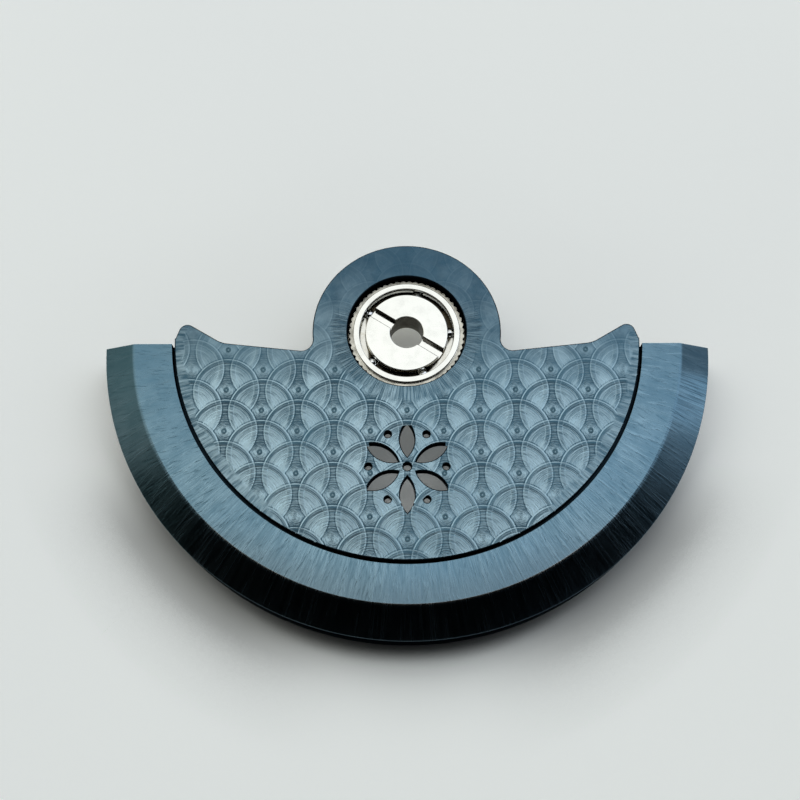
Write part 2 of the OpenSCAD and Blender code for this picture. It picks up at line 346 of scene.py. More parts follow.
def rounded(profile, steps=3):
    """A closed profile of (r, z, radius[, kind]) with its corners rounded off."""
    out = []
    count = len(profile)
    for i, (r, z, radius, *kind) in enumerate(profile):
        p = Vector((r, z))
        kind = kind[0] if kind else 0
        if radius <= 0:
            out.append((r, z, kind))
            continue
        before = Vector(profile[i - 1][:2]) - p
        after = Vector(profile[(i + 1) % count][:2]) - p
        reach = min(radius, before.length * 0.45, after.length * 0.45)
        start = p + before.normalized() * reach
        end = p + after.normalized() * reach
        for k in range(steps + 1):
            t = k / steps
            q = start.lerp(p, t).lerp(p.lerp(end, t), t)
            out.append((q.x, q.y, kind))
    return out


def lathe(body, profile, stations, kinds=None, closed=True):
    """Turns a closed profile of (r, z, toothed) about Z. A station is (degrees, tooth radius)."""
    rows = []
    for degrees, tooth in stations:
        first = len(body.points)
        for r, z, toothed in profile:
            p = polar(tooth + r if toothed else r, degrees)
            body.points.append((p.x, p.y, z))
        rows.append(first)
    count = len(profile)
    turns = len(rows) if closed else len(rows) - 1
    for i in range(turns):
        a = rows[i]
        b = rows[(i + 1) % len(rows)]
        for k in range(count):
            n = (k + 1) % count
            kind = kinds(profile[k], profile[n]) if kinds else 0
            level = abs(profile[k][1] - profile[n][1]) < 1e-6
            body.face((a + k, a + n, b + n, b + k), kind, level)


def around(count):
    return [(360 * i / count, 0) for i in range(count)]


def toothed(teeth, corners):
    """Stations for a toothed wheel. A corner is (share of the pitch, radius)."""
    pitch = 360 / teeth
    return [((i + share) * pitch, radius) for i in range(teeth) for share, radius in corners]


def fix_normals(piece):
    """Turns all faces outward and keeps flat faces flat beside rounded edges."""
    work = bmesh.new()
    work.from_mesh(piece.data)
    bmesh.ops.recalc_face_normals(work, faces=work.faces)
    for edge in work.edges:
        if len(edge.link_faces) == 2 and edge.calc_face_angle() > SHARP:
            edge.smooth = False
    work.to_mesh(piece.data)
    work.free()
    weights = piece.modifiers.new("weights", "WEIGHTED_NORMAL")
    weights.weight = 100
    weights.keep_sharp = True
    return piece


def dress(piece, body, slot, *nodes):
    """Puts a piece on its body in the place of its CAD nodes."""
    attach(piece, body)
    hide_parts(*nodes)
    return piece


class Nodes:
    """Builds the nodes of a material or a world. A value is a number, a colour or a node's output."""

    def __init__(self, owner, shader):
        owner.use_nodes = True
        self.owner = owner
        self.tree = owner.node_tree
        self.shader = self.tree.nodes[shader]

    def put(self, socket, value):
        if isinstance(value, bpy.types.NodeSocket):
            self.tree.links.new(value, socket)
        else:
            socket.default_value = value

    def node(self, kind, *values, **settings):
        made = self.tree.nodes.new(kind)
        for name, value in settings.items():
            setattr(made, name, value)
        for i, value in enumerate(values):
            if value is not None:
                self.put(made.inputs[i], value)
        return made

    def math(self, operation, *values):
        return self.node("ShaderNodeMath", *values, operation=operation).outputs[0]

    def add(self, a, b):
        return self.math("ADD", a, b)

    def sub(self, a, b):
        return self.math("SUBTRACT", a, b)

    def mul(self, a, b):
        return self.math("MULTIPLY", a, b)

    def mix(self, fac, a, b):
        """a where fac is 0 and b where it is 1."""
        return self.add(a, self.mul(fac, self.sub(b, a)))

    def step(self, value, low, high, to_low=0.0, to_high=1.0):
        made = self.node("ShaderNodeMapRange", value, low, high, to_low, to_high)
        made.interpolation_type = "SMOOTHSTEP"
        return made.outputs[0]

    def openness(self, reach):
        """1 in the open, less where the object stands close by, within a reach in millimetres."""
        made = self.node("ShaderNodeAmbientOcclusion")
        made.inputs["Distance"].default_value = reach * MM
        return made.outputs["AO"]

    def combine(self, x, y, z):
        return self.node("ShaderNodeCombineXYZ", x, y, z).outputs[0]

    def position(self):
        """Object coordinates in millimetres."""
        coordinates = self.node("ShaderNodeTexCoord").outputs["Object"]
        scaled = self.node("ShaderNodeVectorMath", operation="SCALE")
        self.put(scaled.inputs[0], coordinates)
        scaled.inputs["Scale"].default_value = 1 / MM
        return scaled.outputs[0]

    def split(self, vector):
        return self.node("ShaderNodeSeparateXYZ", vector).outputs[:3]

    def length(self, x, y):
        return self.math("SQRT", self.add(self.mul(x, x), self.mul(y, y)))

    def noise(self, vector, scale=1.0, detail=2.0, roughness=0.5):
        made = self.node("ShaderNodeTexNoise")
        self.put(made.inputs["Vector"], vector)
        made.inputs["Scale"].default_value = scale
        made.inputs["Detail"].default_value = detail
        made.inputs["Roughness"].default_value = roughness
        return made.outputs["Fac"]

    def blend(self, fac, a, b, kind="MIX"):
        made = self.node("ShaderNodeMix", data_type="RGBA", blend_type=kind)
        self.put(made.inputs[0], fac)
        self.put(made.inputs[6], a)
        self.put(made.inputs[7], b)
        return made.outputs[2]

    def bump(self, height, distance, strength=1.0):
        made = self.node("ShaderNodeBump")
        made.inputs["Strength"].default_value = strength
        made.inputs["Distance"].default_value = distance * MM
        self.put(made.inputs["Height"], height)
        return made.outputs[0]

    def finish(self, **values):
        for name, value in values.items():
            self.put(self.shader.inputs[name.replace("_", " ")], value)
        return self.owner


def surface(name):
    return Nodes(bpy.data.materials.new(name), "Principled BSDF")


def rgb(r, g, b):
    """Scene-linear colour of an sRGB colour from 0 to 255."""
    def linear(v):
        v /= 255
        return v / 12.92 if v <= 0.04045 else ((v + 0.055) / 1.055) ** 2.4
    return (linear(r), linear(g), linear(b), 1.0)


def polar_strokes(n, x, y, z, width, length, angular_r):
    """Noise drawn out along the radius: strokes of a width at angular_r and of a length."""
    r = n.length(x, y)
    safe = n.math("MAXIMUM", r, 0.01)
    turn = angular_r / width
    across = n.mul(n.math("DIVIDE", x, safe), turn)
    upright = n.mul(n.math("DIVIDE", y, safe), turn)
    return n.noise(n.combine(across, upright, n.mul(n.add(r, z), 1 / length)), 1, 2, 0.6)


def lattice(n, x, y):
    """Offsets of a point from the four circles that can reach it, from the frontmost circle back."""
    def nearest(shift_x, shift_y):
        wide = 2 * COLUMN_PITCH
        u = n.math("DIVIDE", n.add(x, shift_x), wide)
        dx = n.mul(n.sub(u, n.math("ROUND", u)), wide)
        v = n.math("DIVIDE", n.add(y, shift_y), ROW_PITCH)
        dy = n.mul(n.sub(v, n.math("FLOOR", v)), ROW_PITCH)
        return dx, dy

    ax, ay = nearest(0.0, 0.0)
    bx, by = nearest(COLUMN_PITCH, ROW_PITCH / 2)
    first = n.math("GREATER_THAN", ay, by)
    low = (n.mix(first, bx, ax), n.mix(first, by, ay))
    high = (n.mix(first, ax, bx), n.mix(first, ay, by))
    behind_low = (low[0], n.sub(low[1], ROW_PITCH))
    behind_high = (high[0], n.sub(high[1], ROW_PITCH))
    return low, high, behind_low, behind_high


def line(n, d, radius, half_w):
    """1 on a circle of a radius, 0 away from it."""
    off = n.math("ABSOLUTE", n.sub(d, radius))
    return n.step(off, 0.3 * half_w, half_w, 1.0, 0.0)


def circle_tones(n, x, y):
    """Light lines, dark lines and number of the overlapping circles, and the offset from the
    frontmost one. A circle hides the one behind it in its own column and lets the others
    shine through."""
    low, high, behind_low, behind_high = lattice(n, x, y)
    light = 0.0
    dark = 0.0
    count = 0.0
    shown = 1.0
    front_x, front_y = 0.0, 0.0
    for (dx, dy), hider in ((low, None), (high, None), (behind_low, low), (behind_high, high)):
        d = n.length(dx, dy)
        clear = n.math("GREATER_THAN", n.length(*hider), RING_R) if hider else 1.0
        seen = n.mul(shown, clear)
        outer = line(n, d, *OUTER_LINE)
        inner = line(n, d, *INNER_LINE)
        bright = n.math("MAXIMUM", outer, n.mul(inner, 0.7))
        inward = n.step(d, RING_R - 0.05, RING_R - 0.03, 1.0, 0.0)
        band = n.mul(n.step(d, RING_R - 0.2, RING_R - 0.17), inward)
        shade = n.math("MAXIMUM", line(n, d, *RIM_LINE), n.mul(band, 0.45))
        light = n.math("MAXIMUM", light, n.mul(bright, seen))
        dark = n.math("MAXIMUM", dark, n.mul(shade, seen))
        within = n.mul(n.math("LESS_THAN", d, RING_R), clear)
        fresh = n.mul(within, n.math("LESS_THAN", count, 0.5))
        front_x = n.mix(fresh, front_x, dx)
        front_y = n.mix(fresh, front_y, dy)
        count = n.add(count, within)
        shown = n.mul(shown, n.sub(1.0, n.mul(within, 0.3)))
    return light, dark, count, front_x, front_y


def radial_zone(n, x, y, z):
    """1 along the plate's edge and around the bearing, where the strokes run along the radius."""
    wander = n.noise(n.combine(x, y, z), 1.3, 2, 0.5)
    reach = n.add(n.length(x, y), n.mul(wander, 0.6))
    low = n.step(y, -8.6, -7.6, 0.45, 0.0)
    edge = n.step(n.sub(reach, low), PLATE_R - 0.22, PLATE_R - 0.02)
    ring = n.step(reach, HOLE_R + 0.8, HOLE_R + 1.2, 1.0, 0.0)
    return n.math("MAXIMUM", edge, n.mul(ring, n.step(y, 0.4, 1.6, 1.0, 0.0)))


def circle_drawing(n, x, y, z, circles):
    """What the engraved circles add to the plate's tone: lines, painted highlights and the fields
    between.
    """
    light, dark, count, dx, dy = circles
    d = n.length(dx, dy)
    lens = n.math("GREATER_THAN", count, 1.5)
    star = n.math("LESS_THAN", count, 1.5)
    # Painted highlights: light fans on either side of each circle's middle, as its concentric brushing
    # would reflect
    fan = n.math("ABSOLUTE", n.math("DIVIDE", dx, n.math("MAXIMUM", d, 0.05)))
    fan_highlight = n.mul(n.step(fan, 0.35, 0.95), n.step(d, 0.7, 1.12, 1.0, 0.0))
    off_middle = n.add(n.math("ABSOLUTE", dx), n.math("ABSOLUTE", dy))
    diamond = n.step(off_middle, 0.27, 0.33, 1.0, 0.0)
    hollow = n.sub(n.mul(star, 0.1), n.mul(n.mul(star, diamond), 0.15))
    fill = n.sub(n.add(n.mul(lens, 0.09), n.mul(fan_highlight, 0.18)), hollow)
    shine = n.noise(n.combine(x, n.mul(y, 0.6), n.add(z, 8.0)), 0.9, 2, 0.5)
    arcs = n.mul(line(n, d, *ARC_LINE), n.step(shine, 0.42, 0.55, 0.0, 0.7))
    # Painted highlight: light patches in the lenses
    lens_highlight = n.mul(lens, n.mul(n.step(shine, 0.45, 0.65), n.step(d, 0.75, 1.25, 0.32, 0.0)))
    lines = n.mul(n.math("MAXIMUM", light, arcs), 0.56)
    return n.sub(n.add(lines, n.add(fill, lens_highlight)), n.mul(dark, 0.42))


def engraved_metal():
    """Blued plate top: concentric brushing in each circle, radial strokes along the edges."""
    n = surface("plate_engraved")
    x, y, z = n.split(n.position())
    circles = circle_tones(n, x, y)
    dx, dy = circles[-2:]
    d = n.math("MAXIMUM", n.length(dx, dy), 0.01)
    radial = radial_zone(n, x, y, z)
    upper = n.step(y, -3.4, 0.4)
    field = n.sub(1.0, n.math("MAXIMUM", radial, n.mul(upper, 0.85)))
    turned = polar_strokes(n, dx, dy, 0.0, 0.9, 0.05, 1.0)
    brushing = n.mix(0.6, turned, n.step(turned, 0.38, 0.62))
    smooth = n.noise(n.combine(x, y, z), 2.4, 4, 0.6)
    spokes = n.step(polar_strokes(n, x, y, 0.0, 0.11, 0.9, 9.0), 0.3, 0.7)
    grain = n.mix(radial, n.mix(upper, brushing, smooth), spokes)
    lively = n.noise(n.combine(x, y, n.add(z, 4.0)), 0.85, 3, 0.6)
    level = n.add(n.step(y, -8.0, -2.0, 0.2, 0.08), n.step(lively, 0.3, 0.7, -0.07, 0.07))
    drawn = n.mul(circle_drawing(n, x, y, z, circles), field)
    tone = n.add(n.add(n.mul(grain, 0.55), level), drawn)
    base = n.blend(n.step(tone, 0.0, 0.9), rgb(54, 80, 94), rgb(164, 190, 201))
    cloud = n.noise(n.combine(x, y, z), 0.35, 2, 0.5)
    base = n.blend(n.step(cloud, 0.35, 0.7, 0.0, 0.3), base, rgb(88, 124, 142))
    # Painted shade: darker towards the hub's top
    base = n.blend(n.step(y, -3.0, 3.8, 0.0, 0.75), base, rgb(42, 72, 91))
    tx = n.mix(radial, n.math("DIVIDE", dx, d), n.mul(y, -0.1))
    ty = n.mix(radial, n.math("DIVIDE", dy, d), n.mul(x, 0.1))
    return n.finish(
        Base_Color=base,
        Metallic=1.0,
        Roughness=n.step(grain, 0.2, 0.8, 0.24, 0.36),
        Anisotropic=0.35,
        Tangent=n.combine(tx, ty, 0.0),
        Normal=n.bump(grain, 0.005),
    )


def pip_metal():
    n = surface("plate_pip")
    x, y, z = n.split(n.position())
    wear_and_highlight = n.noise(n.combine(x, y, z), 6, 3, 0.6)
    base = n.blend(n.step(wear_and_highlight, 0.3, 0.7), rgb(52, 78, 90), rgb(84, 112, 124))
    return n.finish(Base_Color=base, Metallic=1.0, Roughness=n.step(wear_and_highlight, 0.2, 0.8, 0.3, 0.4))


def milled_metal(name, dark, light, width=0.05, rough=(0.28, 0.42)):
    """Blued sides with level milling lines, painted dark as shade, and lighter undersides."""
    n = surface(name)
    x, y, z = n.split(n.position())
    lines = n.noise(n.combine(n.mul(x, 0.4), n.mul(y, 0.4), n.mul(z, 1 / width)), 1, 3, 0.6)
    turned = n.noise(n.combine(0.0, n.mul(n.length(x, y), 1 / width), 0.0), 1, 3, 0.6)
    grain = n.mul(n.add(lines, turned), 0.5)
    base = n.blend(n.step(grain, 0.3, 0.7), dark, light)
    facing = n.split(n.node("ShaderNodeNewGeometry").outputs["Normal"])[2]
    under = n.blend(n.step(grain, 0.3, 0.7), rgb(66, 94, 109), rgb(102, 132, 147))
    base = n.blend(n.step(facing, -0.8, -0.5, 1.0, 0.0), base, under)
    return n.finish(
        Base_Color=base,
        Metallic=1.0,
        Roughness=n.step(grain, 0.2, 0.8, *rough),
        Specular_Tint=rgb(70, 84, 92),
        Normal=n.bump(grain, 0.004),
    )


def scratches(n, x, y, z, slant, offset):
    """Sparse single strokes, 0 to 1, that lean off the radius by a slant."""
    lean = n.mul(n.sub(n.length(x, y), 11.0), slant)
    leant_x = n.add(x, n.mul(y, lean))
    leant_y = n.sub(y, n.mul(x, lean))
    return n.step(polar_strokes(n, leant_x, leant_y, n.add(z, offset), 0.075, 0.7, 12), 0.58, 0.72)


def rim_tone(n, x, y, z, grain):
    """Tone of the rim's strokes, calmer towards its ends."""
    ends = n.step(y, -9.0, -4.0)
    fine_tone = n.step(grain, n.mix(ends, 0.3, 0.12), n.mix(ends, 0.68, 0.9))
    long_light = polar_strokes(n, x, y, n.add(z, 11.0), 0.17, 1.5, 12)
    # Light streaks, faint on the left and strong on the right: real strokes with painted light on the
    # right side
    streaks_and_painted_light = n.mul(n.step(long_light, 0.56, 0.7), n.step(x, 2.0, 8.0, 0.15, 0.75))
    light = scratches(n, x, y, z, 0.018, 0.0)
    dark = scratches(n, x, y, z, -0.022, 5.0)
    strokes = n.add(streaks_and_painted_light, n.sub(n.mul(light, 0.5), n.mul(dark, 0.6)))
    patch = n.noise(n.combine(n.add(x, 9.0), y, z), 1.1, 3, 0.6)
    blotch = n.mul(n.step(patch, 0.35, 0.65, -0.14, 0.14), n.mix(ends, 0.5, 1.0))
    return n.add(fine_tone, n.add(strokes, blotch))


def rim_slope_shade(n, x, y, z, grain, cloud):
    """How much darker the sloping band is painted than the flat top, as painted shade that deepens
    towards the bottom with painted light near its right end, and the colour it turns to, with a
    painted green reflection on its left.
    """
    # Painted light near the right end of the slope, and painted shade deepening towards the bottom
    painted_light_rows = n.mul(n.step(y, -5.4, -3.2), n.step(y, -2.4, -1.6, 1.0, 0.0))
    painted_shade_depth = n.step(y, -8.0, -5.0, 0.68, 0.57)
    painted_light_depth = n.step(grain, 0.38, 0.62, 0.45, -0.1)
    depth = n.mix(n.mul(n.step(x, 8.0, 11.0), painted_light_rows), painted_shade_depth, painted_light_depth)
    slope_shade = n.mul(n.step(z, RIM_TOP - 0.06, RIM_TOP - 0.01, 1.0, 0.0), depth)
    # Painted green reflection on the left end of the slope
    painted_green_reflection = n.mul(n.step(x, -10.0, -8.0, 1.0, 0.0), n.step(cloud, 0.3, 0.7, 0.5, 1.0))
    return slope_shade, n.blend(painted_green_reflection, (0.0, 0.0, 0.0, 1.0), rgb(16, 46, 34))


def brushed_rim():
    """Blued rim with long strokes along the radius."""
    n = surface("rim_brushed")
    x, y, z = n.split(n.position())
    r = n.length(x, y)
    fine = polar_strokes(n, x, y, z, 0.055, 1.1, 12)
    broad = polar_strokes(n, x, y, z, 0.22, 2.2, 12)
    grain = n.add(n.mul(fine, 0.65), n.mul(broad, 0.35))
    cloud = n.noise(n.combine(x, y, z), 0.22, 2, 0.5)
    tone = rim_tone(n, x, y, z, grain)
    base = n.blend(tone, rgb(85, 115, 130), rgb(136, 166, 181))
    tinted = n.blend(n.step(cloud, 0.35, 0.7), base, rgb(92, 128, 150))
    base = n.blend(0.5, base, tinted)
    bottom = n.step(y, -10.5, -7.5, 1.0, 0.0)
    outward = n.mul(n.step(r, WALL_R, FLAT_R), bottom)
    base = n.blend(n.mul(outward, 0.45), base, rgb(106, 121, 128))
    # Painted shade: darker towards the rim's upper ends
    base = n.blend(n.step(y, -6.0, 1.0, 0.0, 0.35), base, rgb(54, 88, 107))
    # Painted highlight: a light line on the edge between the flat and the slope, towards the bottom
    on_edge = n.step(n.math("ABSOLUTE", n.sub(r, FLAT_R + 0.005)), 0.015, 0.05, 1.0, 0.0)
    wear_and_highlight = n.mul(on_edge, n.mul(bottom, n.step(cloud, 0.35, 0.55, 0.3, 0.8)))
    base = n.blend(wear_and_highlight, base, rgb(205, 202, 194))
    # Painted shade, painted light and a painted reflection on the sloping band
    slope_shade, slope_shade_colour = rim_slope_shade(n, x, y, z, grain, cloud)
    base = n.blend(slope_shade, base, slope_shade_colour)
    return n.finish(
        Base_Color=base,
        Metallic=1.0,
        Roughness=n.step(grain, 0.25, 0.75, 0.18, 0.3),
        Anisotropic=0.5,
        Tangent=n.combine(n.mul(y, -0.1), n.mul(x, 0.1), 0.0),
        Normal=n.bump(tone, 0.003),
    )


def polished_steel(name, tone, width, rough=0.08, turned=0.0012):
    """Lapped steel with very fine turning lines and faint stains."""
    n = surface(name)
    x, y, z = n.split(n.position())
    r = n.length(x, y)
    lines = n.noise(n.combine(0.0, n.mul(r, 1 / width), n.mul(z, 1 / width)), 1, 2, 0.6)
    stain = n.noise(n.combine(x, y, z), 2.2, 4, 0.6)
    base = n.blend(n.step(stain, 0.42, 0.7), rgb(*tone), rgb(*(0.97 * v for v in tone)))
    return n.finish(
        Base_Color=base,
        Metallic=1.0,
        Roughness=n.step(stain, 0.3, 0.75, rough, rough * 1.8),
        Normal=n.bump(lines, turned),
    )


def gear_metal():
    """Gilt-toned steel with turning lines on its faces."""
    n = surface("gear_turned")
    x, y, _ = n.split(n.position())
    lines = n.noise(n.combine(0.0, n.mul(n.length(x, y), 18), 0.0), 1, 3, 0.6)
    base = n.blend(n.step(lines, 0.3, 0.7), rgb(196, 186, 160), rgb(222, 214, 190))
    return n.finish(
        Base_Color=base,
        Metallic=1.0,
        Roughness=n.step(lines, 0.2, 0.8, 0.2, 0.36),
        Normal=n.bump(lines, 0.002),
    )


def cage_metal():
    """Brass painted dark as the shade deep in the bearing, with a painted highlight on the two fingers
    that show lit.
    """
    n = surface("cage_brass")
    x, y, z = n.split(n.position())
    wear_and_highlight = n.noise(n.combine(x, y, n.mul(z, 3)), 4, 3, 0.6)
    dark = n.blend(n.step(wear_and_highlight, 0.3, 0.7), rgb(40, 36, 28), rgb(66, 60, 48))
    light = n.blend(n.step(wear_and_highlight, 0.3, 0.7), rgb(206, 202, 190), rgb(230, 228, 220))
    # Painted highlight on the two fingers at these turns
    bright = 0.0
    for turn in PAINTED_LIT_FINGERS:
        towards = polar(1 / BALL_CIRCLE_R, turn)
        along = n.add(n.mul(x, towards.x), n.mul(y, towards.y))
        painted_lit = n.step(along, math.cos(math.radians(29)), math.cos(math.radians(22)))
        bright = n.math("MAXIMUM", bright, painted_lit)
    return n.finish(
        Base_Color=n.blend(bright, dark, light),
        Metallic=1.0,
        Roughness=n.step(wear_and_highlight, 0.2, 0.8, 0.14, 0.26),
        Normal=n.bump(wear_and_highlight, 0.001),
    )


def floor_shade(n, x, y, near, outside):
    """Depth of the shadow: close under the rim's bottom, and wide at its two lower flanks."""
    depth = n.mul(outside, n.step(y, -14.0, -6.0, SHADOW_DEPTH, 0.0))
    contact = n.mul(depth, n.step(near, 0.52, 0.86, 1.0, 0.0))
    wide = n.openness(WIDE_SHADOW_W)
    flank = n.mul(n.step(n.math("ABSOLUTE", x), 2.0, 8.0), n.step(y, -9.0, -5.0, 1.0, 0.0))
    cast = n.mul(n.mul(outside, flank), n.step(wide, 0.85, 1.0, WIDE_SHADOW_DEPTH, 0.0))
    return n.math("MAXIMUM", contact, cast)


def floor_paint():
    """Pale board, shaded where the object stands close by. Part of its paleness shows only to
    the eye and in reflections, so it adds no light."""
    n = surface("floor_pale")
    x, y, z = n.split(n.position())
    cloud = n.noise(n.combine(x, y, z), 0.02, 2, 0.5)
    fine = n.noise(n.combine(x, y, z), 1.5, 3, 0.6)
    base = n.blend(n.step(cloud, 0.3, 0.7), rgb(240, 243, 241), rgb(243, 246, 243))
    path = n.node("ShaderNodeLightPath").outputs
    mirrored = n.math("MAXIMUM", path["Is Glossy Ray"], path["Is Transmission Ray"])
    seen = n.math("MAXIMUM", path["Is Camera Ray"], mirrored)
    near = n.openness(SHADOW_W)
    inside = n.step(n.length(x, y), PLATE_R - 0.6, PLATE_R, 1.0, 0.0)
    beside = n.math("MAXIMUM", inside, n.step(y, -8.0, -3.0))
    open_sky = n.math("MAXIMUM", beside, n.step(near, 0.5, 1.0))
    shade = floor_shade(n, x, y, near, n.sub(1.0, inside))
    base = n.blend(shade, base, (0.0, 0.0, 0.0, 1.0))
    return n.finish(
        Base_Color=base,
        Emission_Color=base,
        Emission_Strength=n.mul(n.mul(seen, open_sky), FLOOR_GLOW),
        Roughness=n.step(fine, 0.3, 0.7, 0.8, 0.9),
        Normal=n.bump(fine, 0.004),
    )


def ring_free(p, outline, holes):
    """True where the engraving may run: on the plate, clear of its edge, windows and bearing."""
    r = p.length
    if r < HOLE_R + BORE_EDGE or r > PLATE_R - FIELD_EDGE:
        return False
    if not inside(p, outline):
        return False
    centre = p - Vector((0, ROSETTE_Y))
    if centre.length < PIP_Y + PIP_R + 0.1:
        return not any(inside(p, hole) for hole in holes)
    return True


def ridge(body, points, heights, section, closed, kind):
    """A low ridge along a line on the plate's top, with its own height at each point."""
    base = PLATE_TOP - RELIEF
    rows = []
    count = len(points)
    for i, p in enumerate(points):
        ahead = points[(i + 1) % count] if closed or i + 1 < count else p
        behind = points[i - 1] if closed or i else p
        along = (ahead - behind).normalized()
        side = Vector((-along.y, along.x))
        first = len(body.points)
        for s, share in section:
            q = p + side * s
            body.points.append((q.x, q.y, base + share * heights[i] * RELIEF))
        rows.append(first)
    width = len(section)
    for i in range(count if closed else count - 1):
        a = rows[i]
        b = rows[(i + 1) % count]
        for k in range(width):
            m = (k + 1) % width
            body.face((a + k, b + k, b + m, a + m), kind)
    if not closed:
        body.face([rows[0] + k for k in range(width)], kind)
        body.face([rows[-1] + k for k in reversed(range(width))], kind)


def band_height(p, centre):
    """A circle stands out at its top, sinks at its foot, and fades out on the hub and the ears."""
    lift = 0.5 + 0.25 * (1 + (p.y - centre.y) / BAND_R)
    r = p.length
    near_hub = min(1, max(0, (r - HOLE_R - 0.5) / FADE_W))
    near_edge = min(1, max(0, (PLATE_R - FIELD_EDGE - r) / FADE_W))
    upper = min(1, max(0, (0.9 - p.y) / 2.4))
    return lift * near_hub * near_edge * upper


def engrave(body, outline, holes):
    """Bands of overlapping circles over the plate, cut off at its edges, and pips between them."""
    edge = inset(outline, FIELD_EDGE)
    wide = [inset(hole, -WINDOW_EDGE) for hole in holes]
    for column in COLUMNS:
        for row in ROWS:
            centre = Vector((column * COLUMN_PITCH, (row + (column % 2) / 2) * ROW_PITCH))
            run_band(body, centre, edge, wide)
            on_field = centre.y < 0 and HOLE_R + PIP_TO_HOLE < centre.length < PLATE_R - PIP_TO_EDGE
            if on_field and ring_free(centre, edge, wide):
                loop = arc(centre, PIP_RING_R, 0, 360, 30)[:-1]
                ridge(body, loop, [PIP_HEIGHT] * len(loop), PIP_SECTION, True, 1)


def run_band(body, centre, edge, holes):
    """The stretches of one circle's band that lie on the field and stand out enough."""
    loop = arc(centre, BAND_R, 0, 360, 3)[:-1]
    heights = [band_height(p, centre) for p in loop]
    hider = centre - Vector((0, ROW_PITCH))
    free = [
        h > LEAST_HEIGHT and (p - hider).length > RING_R - 0.05 and ring_free(p, edge, holes)
        for p, h in zip(loop, heights)
    ]
    if all(free):
        ridge(body, loop, heights, BAND_SECTION, True, 0)
        return
    if not any(free):
        return
    start = next(i for i in range(len(loop)) if not free[i - 1] and free[i])
    run = []
    for k in range(len(loop) + 1):
        i = (start + k) % len(loop)
        if free[i] and k < len(loop):
            run.append(i)
            continue
        if len(run) >= LEAST_POINTS:
            ridge(body, [loop[j] for j in run], [heights[j] for j in run], BAND_SECTION, False, 0)
        run = []


def plate():
    body = Body()
    outline = plate_outline()
    holes = windows()
    top = PLATE_TOP - RELIEF
    b = PLATE_BEVEL
    levels = (
        (b, PLATE_Z), (0.3 * b, PLATE_Z + 0.3 * b), (0, PLATE_Z + b),
        (0, top - b), (0.3 * b, top - 0.3 * b), (b, top),
    )
    caps_low = []
    caps_high = []
    for loop, sign in [(outline, 1)] + [(hole, -1) for hole in holes]:
        rings = [body.loop(inset(loop, sign * distance), z) for distance, z in levels]
        for low, high in zip(rings, rings[1:]):
            body.bridge(low, high, 1)
        caps_low.append(rings[0])
        caps_high.append(rings[-1])
    bore = (
        (HOLE_R + b, top), (HOLE_R + 0.3 * b, top - 0.3 * b), (HOLE_R, top - b),
        (HOLE_R, COLLAR_Z + b), (HOLE_R + b, COLLAR_Z), (COLLAR_R - b, COLLAR_Z),
        (COLLAR_R, COLLAR_Z + b), (COLLAR_R, PLATE_Z),
    )
    rings = [body.loop(arc((0, 0), r, 0, 360, 1.5)[:-1], z) for r, z in bore]
    for low, high in zip(rings, rings[1:]):
        body.bridge(low, high, 1)
    body.cap(caps_high + [rings[0]], 0)
    body.cap(caps_low + [rings[-1]], 1, down=True)
    solid = fix_normals(body.object("plate", [field_metal, plate_side_painted_shade]))
    return dress(solid, "rotor", "blued_plate", "rotor_plate")


def engraving():
    body = Body()
    engrave(body, plate_outline(), windows())
    piece = fix_normals(body.object("plate_engraving", [field_metal, pip_metal()]))
    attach(piece, "rotor")
    return piece


def rim():
    b = RIM_BEVEL
    slope_foot = RIM_TOP - SLOPE_DROP
    profile = rounded([
        (LEDGE_R, LEDGE_BOTTOM, b), (FOOT_IN_R, LEDGE_BOTTOM, b),
        (FOOT_IN_R, RIM_Z + FOOT_BEVEL, b), (FOOT_IN_R + FOOT_BEVEL, RIM_Z, b),
        (RIM_R - FOOT_BEVEL, RIM_Z, b), (RIM_R, RIM_Z + FOOT_BEVEL, b),
        (RIM_R, slope_foot, b), (FLAT_R, RIM_TOP, b),
        (WALL_R, RIM_TOP, GROOVE_BEVEL), (WALL_R, PLATE_Z, 0),
        (LEDGE_R, PLATE_Z, b),
    ])
    body = Body()
    steps = 360
    rows = []
    for i in range(steps + 1):
        first = len(body.points)
        for r, z, _ in profile:
            start = 180 - math.degrees(math.asin(CUT_Y / r))
            p = polar(r, start + (540 - 2 * start) * i / steps)
            body.points.append((p.x, p.y, z))
        rows.append(first)
    count = len(profile)
    for a, c in zip(rows, rows[1:]):
        for k in range(count):
            m = (k + 1) % count
            widest = max(profile[k][0], profile[m][0])
            lowest = min(profile[k][1], profile[m][1])
            brushed = lowest > slope_foot - 0.02 and widest > WALL_R + 0.001
            level = abs(profile[k][1] - profile[m][1]) < 1e-6
            body.face((a + k, a + m, c + m, c + k), 0 if brushed else 1, level)
    for first in (rows[0], rows[-1]):
        body.cap([[first + k for k in range(count)]], 1)
    piece = fix_normals(body.object("rim", [brushed_rim(), rim_side_painted_shade]))
    return dress(piece, "rotor", "blued_rim", "rim_weight")


def rivet(i, metal):
    low = LEDGE_BOTTOM - RIVET_HEAD_T
    profile = rounded([
        (AXIS_R, low, 0), (RIVET_HEAD_R, low, 0.07), (RIVET_HEAD_R, LEDGE_BOTTOM, 0.02),
        (RIVET_R, LEDGE_BOTTOM, 0), (RIVET_R, RIVET_END, 0.03), (AXIS_R, RIVET_END, 0),
    ])
    body = Body()
    lathe(body, profile, around(48))
    place = polar(RIVET_LINE_R, -90 + (i - (RIVETS - 1) / 2) * RIVET_PITCH)
    body.points = [(x + place.x, y + place.y, z) for x, y, z in body.points]
    piece = fix_normals(body.object(f"rivet_{i + 1}", [metal]))
    return dress(piece, "rotor", "rivet_steel", f"weight_rivet_{i + 1}")


